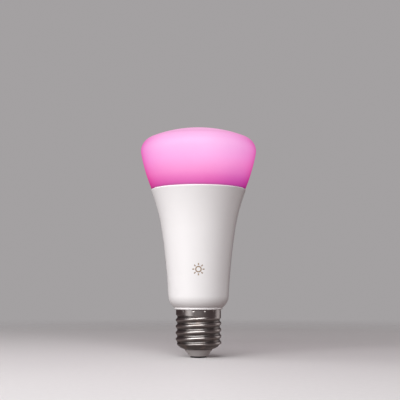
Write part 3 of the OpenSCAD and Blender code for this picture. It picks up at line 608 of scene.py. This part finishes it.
def moulded_grain_group():
    """Fine grain of moulded plastic: a height for bump and a small change of roughness."""
    fine_share = 0.15
    tree, given, end = new_tree(
        "Moulded grain", "ShaderNodeTree",
        [("Vector", "Vector"), ("Grain Size", "Float", 0.2 * MM), ("Unevenness", "Float", 0.5)],
        [("Height", "Float"), ("Roughness Change", "Float")])
    fine = add(tree, "ShaderNodeTexNoise", {"Vector": given["Vector"], "Detail": 3.0, "Roughness": 0.6})
    feed(tree, fine.inputs["Scale"], given["Grain Size"].math("POWER", -1.0))
    broad = add(tree, "ShaderNodeTexNoise", {"Vector": given["Vector"], "Scale": 60.0, "Detail": 2.0})
    change = (out(tree, broad, "Fac") - 0.5) * given["Unevenness"]
    change = change + (out(tree, fine, "Fac") - 0.5) * fine_share
    feed(tree, end.inputs["Height"], out(tree, fine, "Fac"))
    feed(tree, end.inputs["Roughness Change"], change)
    return tree


def turning_lines_group():
    """Fine rings round the axis, as drawing, rolling or turning leaves them on metal."""
    tree, given, end = new_tree(
        "Turning lines", "ShaderNodeTree",
        [("Vector", "Vector"), ("Spacing", "Float", 0.15 * MM), ("Wander", "Float", 0.1)],
        [("Height", "Float"), ("Tone", "Float")])
    x, y, z = xyz(tree, given["Vector"])
    away = (x * x + y * y).math("SQRT")
    wander = given["Wander"]
    stretched = out(tree, add(tree, "ShaderNodeCombineXYZ", {0: x * wander, 1: y * wander, 2: z + away}))
    lines = add(tree, "ShaderNodeTexNoise", {"Vector": stretched, "Detail": 4.0, "Roughness": 0.65})
    feed(tree, lines.inputs["Scale"], given["Spacing"].math("POWER", -1.0))
    feed(tree, end.inputs["Height"], out(tree, lines, "Fac"))
    feed(tree, end.inputs["Tone"], ease(tree, out(tree, lines, "Fac"), *NOISE_RANGE))
    return tree


def handling_group():
    """Patches that handling leaves: 0 where the surface is clean, 1 in a mark."""
    mark_from, mark_full = 0.52, 0.72
    tree, given, end = new_tree(
        "Handling marks", "ShaderNodeTree",
        [("Vector", "Vector"), ("Mark Size", "Float", 4 * MM), ("Amount", "Float", 0.5)],
        [("Mask", "Float")])
    patches = add(tree, "ShaderNodeTexNoise", {"Vector": given["Vector"], "Detail": 5.0, "Distortion": 0.8})
    feed(tree, patches.inputs["Scale"], given["Mark Size"].math("POWER", -1.0))
    mask = ease(tree, out(tree, patches, "Fac"), mark_from, mark_full) * given["Amount"]
    feed(tree, end.inputs["Mask"], mask)
    return tree


def group(tree, name, vector, **values):
    """A shared effect placed in a material with its own values."""
    node = add(tree, "ShaderNodeGroup", node_tree=shared_tree(name))
    feed(tree, node.inputs["Vector"], vector)
    for label, value in values.items():
        node.inputs[label.replace("_", " ").title()].default_value = value
    return node


# ---------------------------------------------------------------- materials

def new_material(name, roughness, metallic=0.0, **constants):
    """A material with its Principled shader: (material, tree, shader, object coordinates)."""
    material = bpy.data.materials.new(name)
    material.use_nodes = True
    tree = material.node_tree
    shader = tree.nodes["Principled BSDF"]
    shader.inputs["Roughness"].default_value = roughness
    shader.inputs["Metallic"].default_value = metallic
    for label, value in constants.items():
        shader.inputs[label.replace("_", " ")].default_value = value
    place = out(tree, add(tree, "ShaderNodeTexCoord"), "Object")
    return material, tree, shader, place


def bump(tree, shader, height, distance):
    """Feeds a height to the shader's normal; distance is the depth in metres."""
    node = add(tree, "ShaderNodeBump", {"Height": height, "Distance": distance})
    feed(tree, shader.inputs["Normal"], out(tree, node))


def blend(tree, factor, first, second, way="MIX"):
    """Mixes two colours, each a signal or a colour."""
    node = add(tree, "ShaderNodeMix", data_type="RGBA", blend_type=way)
    feed(tree, node.inputs[0], factor)
    for slot, value in ((node.inputs[6], first), (node.inputs[7], second)):
        feed(tree, slot, value if isinstance(value, Signal) else (*value, 1.0))
    return out(tree, node, 2)


def multiply(tree, first, second):
    """Multiplies two colours, each a signal or a colour."""
    return blend(tree, 1.0, first, second, "MULTIPLY")


def shade(tint, factor):
    """A colour made lighter or darker."""
    return tuple(min(1.0, c * factor) for c in tint)


def plastic(name, tint, roughness, grain=0.25 * MM, depth=0.01 * MM, unevenness=0.12):
    """Moulded plastic, lacquer, rubber or epoxy with its grain and slight unevenness."""
    material, tree, shader, place = new_material(name, roughness)
    skin = group(tree, "Moulded grain", place, grain_size=grain, unevenness=unevenness)
    change = out(tree, skin, "Roughness Change")
    feed(tree, shader.inputs["Roughness"], change + roughness)
    tone = ease(tree, change, -0.1, 0.1)
    feed(tree, shader.inputs["Base Color"], blend(tree, tone, shade(tint, 0.96), shade(tint, 1.03)))
    bump(tree, shader, out(tree, skin, "Height"), depth)
    return material


def metal(name, tint, roughness, marks=0.5):
    """Drawn, rolled or turned metal with fine rings and handling marks."""
    worn_rough, line_rough = 0.18, 0.05
    material, tree, shader, place = new_material(name, roughness, metallic=1.0)
    lines = group(tree, "Turning lines", place, spacing=0.12 * MM)
    worn = out(tree, group(tree, "Handling marks", place, amount=marks), "Mask")
    tone = out(tree, lines, "Tone")
    clean = blend(tree, tone, shade(tint, 0.93), shade(tint, 1.05))
    feed(tree, shader.inputs["Base Color"], blend(tree, worn, clean, shade(tint, 0.8)))
    feed(tree, shader.inputs["Roughness"], worn * worn_rough + tone * line_rough + roughness)
    bump(tree, shader, out(tree, lines, "Height"), 0.004 * MM)
    return material


def opal_material(dome):
    """Opal plastic lit from inside: deep pink over the seam, palest at the shoulder."""
    roughness = 0.55
    material, tree, shader, place = new_material(
        "lit_opal", roughness, Specular_IOR_Level=0.3, Emission_Strength=1.0, Coat_IOR=1.035,
        Coat_Roughness=0.5, Coat_Tint=(*dome.depth_tint, 1.0))
    x, _, z = xyz(tree, place)
    level = (z - SEAM_Z) / (TOP_Z - SEAM_Z)
    # The wall adds less depth over the crown, where the lamps lie right behind it
    feed(tree, shader.inputs["Coat Weight"], ease(tree, level, 0.70, 0.92, to_low=1.0, to_high=0.5))

    glow = add(tree, "ShaderNodeValToRGB", {0: level})
    stops = ((0.0, dome.seam_glow), (0.03, dome.foot_glow), (0.12, dome.low_glow), (0.20, dome.rising_glow),
             (0.32, dome.middle_glow), (0.43, dome.bright_glow), (0.57, dome.high_glow),
             (0.70, dome.shoulder_glow), (0.81, dome.crown_glow), (0.92, dome.top_glow))
    ramp = glow.color_ramp
    for i, (position, tint) in enumerate(stops):
        stop = ramp.elements[i] if i < 2 else ramp.elements.new(position)
        stop.position = position
        stop.color = (*tint, 1.0)

    # Painted shade: the glow is made darker and bluer towards the +X side, most of all at the foot, for the
    # side that the lights at the left leave in shade. The glow is also slightly cloudy
    far = blend(tree, ease(tree, level, 0.0, 0.4), tuple(dome.foot_shading), tuple(dome.side_shading))
    shading = blend(tree, ease(tree, x, 2 * MM, DOME_R), (1.0, 1.0, 1.0), far)
    cloud = group(tree, "Moulded grain", place, grain_size=1.6 * MM, unevenness=0.5)
    haze = ease(tree, out(tree, cloud, "Roughness Change"), -0.12, 0.12)
    soft = blend(tree, haze, (0.985, 0.975, 0.985), (1.0, 1.0, 1.0))
    light = multiply(tree, multiply(tree, out(tree, glow, "Color"), shading), soft)
    feed(tree, shader.inputs["Emission Color"], light)

    plain = blend(tree, haze, shade(dome.skin, 0.95), shade(dome.skin, 1.05))
    feed(tree, shader.inputs["Base Color"], plain)
    fine = group(tree, "Moulded grain", place, grain_size=0.12 * MM, unevenness=0.1)
    feed(tree, shader.inputs["Roughness"], out(tree, fine, "Roughness Change") + roughness)
    bump(tree, shader, out(tree, fine, "Height"), 0.004 * MM)
    return material


def housing_material(housing):
    """Satin white plastic with a fine moulded grain and a small printed sun on the front."""
    roughness, worn_rough, ink_height = 0.42, 0.06, 0.6
    material, tree, shader, place = new_material("housing_white", roughness, Specular_IOR_Level=0.45)
    skin = group(tree, "Moulded grain", place, grain_size=0.16 * MM, unevenness=0.10)
    change = out(tree, skin, "Roughness Change")
    worn = out(tree, group(tree, "Handling marks", place, mark_size=9 * MM, amount=0.5), "Mask")
    tone = ease(tree, change, -0.08, 0.08)
    clean = blend(tree, tone, shade(housing.skin, 0.985), shade(housing.skin, 1.01))
    dulled = blend(tree, worn, clean, shade(housing.skin, 0.975))
    ink = printed_sun(tree, place)
    feed(tree, shader.inputs["Base Color"], blend(tree, ink, dulled, housing.print_ink))
    feed(tree, shader.inputs["Roughness"], change + worn * worn_rough + roughness)
    bump(tree, shader, out(tree, skin, "Height") + ink * ink_height, 0.006 * MM)
    return material


def printed_sun(tree, place):
    """A ring with short rays round it, printed on the front: 1 in the ink and 0 beside it."""
    centre_z, ring_r, ray_from, ray_to = 50 * MM, 1.5 * MM, 2.3 * MM, 3.4 * MM
    half_line, soft_edge, ray_count = 0.32 * MM, 0.05 * MM, 8
    x, y, z = xyz(tree, place)
    z = z - centre_z
    away = (x * x + z * z).math("SQRT")

    def band(value, half):
        return ease(tree, value.math("ABSOLUTE"), half + soft_edge, half - soft_edge)

    ring = band(away - ring_r, half_line)
    spacing = math.tau / ray_count
    spoke = z.math("ARCTAN2", x) / spacing
    aside = (spoke - spoke.math("ROUND")) * spacing * away
    rays = band(aside, half_line) * band(away - (ray_from + ray_to) / 2, (ray_to - ray_from) / 2)
    front = y.math("LESS_THAN", 0.0)
    return (ring + rays).math("MINIMUM", 1.0) * front


def nickel_material(cap):
    """Nickel plate on rolled brass: rolling lines, a faint tarnish, roots darkened as painted shade, and
    crests made lighter and smoother by wear.
    """
    roughness, tarnish_rough, line_rough, crest_polish = 0.32, 0.10, 0.05, 0.05
    material, tree, shader, place = new_material("cap_nickel", roughness, metallic=1.0)
    lines = group(tree, "Turning lines", place, spacing=0.10 * MM)
    tarnish = out(tree, group(tree, "Handling marks", place, mark_size=5 * MM, amount=0.7), "Mask")
    x, y, _ = xyz(tree, place)
    crest = ease(tree, (x * x + y * y).math("SQRT"), cap.root_r, cap.root_r + cap.depth)
    tone = out(tree, lines, "Tone")
    tint = tuple(cap.nickel)
    # Painted shade: the roots are darkened to a third of the nickel for the shade in the thread's hollows;
    # the worn crests are a little lighter
    root_shaded = blend(tree, crest, shade(tint, 0.32), shade(tint, 1.14))
    lined = blend(tree, tone * 0.5, root_shaded, shade(tint, 0.85))
    brown = tuple(part * fade for part, fade in zip(tint, (0.82, 0.74, 0.68)))
    feed(tree, shader.inputs["Base Color"], blend(tree, tarnish, lined, brown))
    feed(tree, shader.inputs["Roughness"],
         tarnish * tarnish_rough + tone * line_rough - crest * crest_polish + roughness)
    bump(tree, shader, out(tree, lines, "Height"), 0.003 * MM)
    return material


def record_material(slot):
    """A material for a piece inside the bulb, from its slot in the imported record."""
    entry = next(m for m in frame["record"]["materials"] if m["slot"] == slot)
    tint, kind = entry["base_color"][:3], entry["class"]
    if slot == "board_white":
        return plastic(slot, tint, roughness=0.38, grain=0.5 * MM, unevenness=0.2)
    if any(word in kind for word in METALS):
        return metal(slot, tint, roughness=0.34)
    if "gloss" in kind or "glazed" in kind:
        return plastic(slot, tint, roughness=0.3)
    return plastic(slot, tint, roughness=0.55)


def dress(name, material):
    """Gives a CAD node its material."""
    piece = frame["nodes"][name]
    for slot in piece.material_slots:
        slot.material = material
    if not piece.material_slots:
        piece.data.materials.append(material)


def place_piece(piece, slot, *nodes):
    """Lets a finished piece ride on the bulb in place of CAD nodes."""
    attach(piece, BODY)
    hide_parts(*nodes)


# ---------------------------------------------------------------- operators

class BuildDome(bpy.types.Operator):
    """Turns the opal dome with its spigot"""
    bl_idname = "bulb.build_dome"
    bl_label = "Opal dome"

    def execute(self, context):
        bulb = context.scene.bulb
        piece = turned_piece("opal_dome", dome_outline(bulb.dome, bulb.housing), "Turned wall",
                             {"Segments": 224, "Material": opal_material(bulb.dome)})
        place_piece(piece, "dome_opal", "diffuser_dome")
        return {"FINISHED"}


class BuildHousing(bpy.types.Operator):
    """Turns the trumpet housing and finishes the neck ring under it"""
    bl_idname = "bulb.build_housing"
    bl_label = "Housing"

    def execute(self, context):
        housing = context.scene.bulb.housing
        skin = housing_material(housing)
        piece = turned_piece("trumpet_housing", housing_outline(housing), "Turned wall",
                             {"Segments": 224, "Material": skin})
        place_piece(piece, "housing_white", "outer_housing")
        # Painted light: the neck ring is the housing's white made 8% lighter, so that it stays bright in the
        # shade under the heel
        neck_lit_white = plastic("neck_ring_lit_white", shade(housing.skin, 1.08), roughness=0.32, grain=0.2 * MM)
        dress("driver_cup", neck_lit_white)
        return {"FINISHED"}


class BuildScrewShell(bpy.types.Operator):
    """Rolls the screw shell: thread, skirt, crimp marks and cone in one sheet"""
    bl_idname = "bulb.build_screw_shell"
    bl_label = "Screw shell"

    def execute(self, context):
        cap = context.scene.bulb.cap
        columns_a_crimp = 20
        rows = shell_rows(cap)
        values = {"Segments": cap.crimps * columns_a_crimp, "Pitch": cap.pitch, "Thread Depth": cap.depth,
                  "Crest Height": cap.crest_z, "Skirt Rise": cap.skirt_r - cap.root_r,
                  "Thread Top": cap.top_z, "Run-out": cap.run_out, "Run-out Tilt": cap.run_out_tilt,
                  "Crimps": cap.crimps, "Crimp Phase": cap.crimp_phase,
                  "Crimp Radius": cap.crimp_r, "Crimp Depth": cap.crimp_depth,
                  "Crimp Height": CAP_TOP_Z - CRIMP_DROP * cap.crimp_r, "Material": nickel_material(cap)}
        piece = turned_piece("rolled_screw_shell", [row[:2] for row in rows], "Rolled screw shell", values,
                             {"thread": [row[2] for row in rows], "crimp": [row[3] for row in rows]})
        place_piece(piece, "cap_nickel", "screw_shell")
        return {"FINISHED"}


class BuildInsulator(bpy.types.Operator):
    """Turns the insulating cone and the centre contact at the foot of the cap"""
    bl_idname = "bulb.build_insulator"
    bl_label = "Insulator and contact"

    def execute(self, context):
        cap = context.scene.bulb.cap
        grey = plastic("cap_insulator", tuple(cap.vitrite), roughness=0.3, grain=0.7 * MM, depth=0.03 * MM,
                       unevenness=0.3)
        cone = turned_piece("insulator_cone", insulator_outline(cap), "Turned wall",
                            {"Segments": 128, "Material": grey})
        place_piece(cone, "insulator_grey", "cap_insulator")
        # Painted shade: the contact's near-black stands in for the dark under the cap
        painted_shade_contact = metal("centre_contact", tuple(cap.contact), roughness=0.5, marks=0.8)
        disc = turned_piece("contact_disc", contact_outline(cap), "Turned wall",
                            {"Segments": 96, "Material": painted_shade_contact})
        place_piece(disc, "contact_dark", "centre_contact")
        return {"FINISHED"}


class FinishInside(bpy.types.Operator):
    """Gives the light engine, the driver and the radio their finishes"""
    bl_idname = "bulb.finish_inside"
    bl_label = "Inner pieces"

    def execute(self, context):
        made = {}
        for entry in frame["record"]["subparts"]:
            name, slot = entry["node"], entry["material_slot"]
            if name in OUTSIDE:
                continue
            if slot not in made:
                made[slot] = record_material(slot)
            dress(name, made[slot])
        return {"FINISHED"}


class BuildStage(bpy.types.Operator):
    """Sets the floor, the soft lights and the camera"""
    bl_idname = "bulb.build_stage"
    bl_label = "Stage"

    def execute(self, context):
        stage = context.scene.bulb.stage
        build_floor(stage)
        build_world(stage)
        soft_light("key_strip", stage.key_power, size=(0.44, 0.80), place=direction(-50, 3) * 0.75)
        soft_light("front_light", stage.front_power, size=(1.15, 0.42), place=direction(-14, 31) * 0.70)
        fill = soft_light("side_light", stage.side_power, size=(0.80, 0.80), place=direction(-84, 28) * 0.70)
        fill.visible_glossy = False
        soft_light("edge_light", stage.edge_power, size=(0.42, 0.60), place=direction(118, 8) * 0.60,
                   tint=stage.edge_tint)
        camera = bpy.data.cameras.new("camera")
        camera.lens = stage.lens
        camera.clip_start = 0.01
        viewer = bpy.data.objects.new("camera", camera)
        viewer.location = (stage.eye_x, -stage.eye_back, stage.eye_z)
        viewer.rotation_euler = (math.pi / 2 + stage.eye_pitch, 0, 0)
        context.scene.collection.objects.link(viewer)
        context.scene.camera = viewer
        context.scene.view_settings.view_transform = "Standard"
        return {"FINISHED"}


def direction(azimuth, elevation):
    """A way from the bulb: azimuth 0 is towards the viewer and 90 is to the viewer's right, in degrees."""
    turn, rise = math.radians(azimuth), math.radians(elevation)
    return Vector((math.sin(turn) * math.cos(rise), -math.cos(turn) * math.cos(rise), math.sin(rise)))


def soft_light(name, watts, size, place, tint=(1, 1, 1)):
    """An oval light of a width and height in metres, at a place counted from the bulb's middle."""
    aim = Vector((0, 0, 66 * MM))
    lamp = bpy.data.lights.new(name, "AREA")
    lamp.color = tint
    lamp.shape = "ELLIPSE"
    lamp.size, lamp.size_y = size
    lamp.energy = watts
    light = bpy.data.objects.new(name, lamp)
    light.location = aim + place
    light.rotation_euler = (-place).to_track_quat("-Z", "Y").to_euler()
    light.visible_camera = False
    bpy.context.scene.collection.objects.link(light)
    return light


def build_floor(stage):
    """A pale round floor that fades into the backdrop and throws no light back on the bulb."""
    fade_from, fade_to, floor_r, sides = 0.10, 0.65, 1.0, 96
    material, tree, shader, place = new_material("pale_floor", 0.6, Specular_IOR_Level=0.2)
    x, y, _ = xyz(tree, place)
    away = (x * x + y * y).math("SQRT")
    grain = group(tree, "Moulded grain", place, grain_size=3 * MM, unevenness=0.1)
    tint = tuple(stage.floor)
    tone = ease(tree, out(tree, grain, "Height"), *NOISE_RANGE)
    feed(tree, shader.inputs["Base Color"], blend(tree, tone, shade(tint, 0.985), shade(tint, 1.01)))
    feed(tree, shader.inputs["Alpha"], ease(tree, away, fade_to, fade_from))
    disc = bpy.data.meshes.new("floor")
    corners = [(*(floor_r * unit(math.tau * i / sides)), 0) for i in range(sides)]
    disc.from_pydata(corners, [], [tuple(range(sides))])
    disc.materials.append(material)
    floor = bpy.data.objects.new("floor", disc)
    floor.visible_diffuse = False
    floor.visible_glossy = False
    floor.visible_shadow = False
    bpy.context.scene.collection.objects.link(floor)


def build_world(stage):
    """A pale backdrop for the eye and a dim, even light for the bulb."""
    world = bpy.data.worlds.new("studio")
    world.use_nodes = True
    tree = world.node_tree
    background = tree.nodes["Background"]
    seen = out(tree, add(tree, "ShaderNodeLightPath"), "Is Camera Ray")
    way = xyz(tree, out(tree, add(tree, "ShaderNodeTexCoord"), "Generated"))[2]
    rise = ease(tree, way, low=-0.35, high=-0.05)
    dim = blend(tree, rise, tuple(stage.ambient_low), tuple(stage.ambient))
    feed(tree, background.inputs["Color"], blend(tree, seen, dim, tuple(stage.backdrop)))
    bpy.context.scene.world = world


class BulbPanel(bpy.types.Panel):
    """Lists the bulb's pieces and their settings"""
    bl_idname = "VIEW3D_PT_bulb"
    bl_label = "Smart light bulb"
    bl_space_type = "VIEW_3D"
    bl_region_type = "UI"
    bl_category = "Bulb"

    def draw(self, context):
        for operator in PIECES:
            self.layout.operator(operator.bl_idname)
        for part in ("dome", "housing", "cap", "stage"):
            box = self.layout.box()
            settings = getattr(context.scene.bulb, part)
            box.label(text=part.title())
            for name in settings.__annotations__:
                box.prop(settings, name)


TREES = {"Turned wall": turned_wall_tree, "Rolled screw shell": screw_shell_tree,
         "Moulded grain": moulded_grain_group, "Turning lines": turning_lines_group,
         "Handling marks": handling_group}
PIECES = (BuildDome, BuildHousing, BuildScrewShell, BuildInsulator, FinishInside, BuildStage)
CLASSES = (DomeSettings, HousingSettings, CapSettings, StageSettings, BulbSettings, *PIECES, BulbPanel)


def shared_tree(name):
    """A node tree that several pieces use, made when the first of them asks for it."""
    return bpy.data.node_groups.get(name) or TREES[name]()


def register():
    """Registers the settings, the operators and the panel."""
    for cls in CLASSES:
        bpy.utils.register_class(cls)
    bpy.types.Scene.bulb = PointerProperty(type=BulbSettings)


def unregister():
    """Takes them out again."""
    del bpy.types.Scene.bulb
    for cls in reversed(CLASSES):
        bpy.utils.unregister_class(cls)


def main():
    """Builds every piece and the stage."""
    register()
    for operator in PIECES:
        area, name = operator.bl_idname.split(".")
        getattr(getattr(bpy.ops, area), name)()


if __name__ == "__main__":
    main()
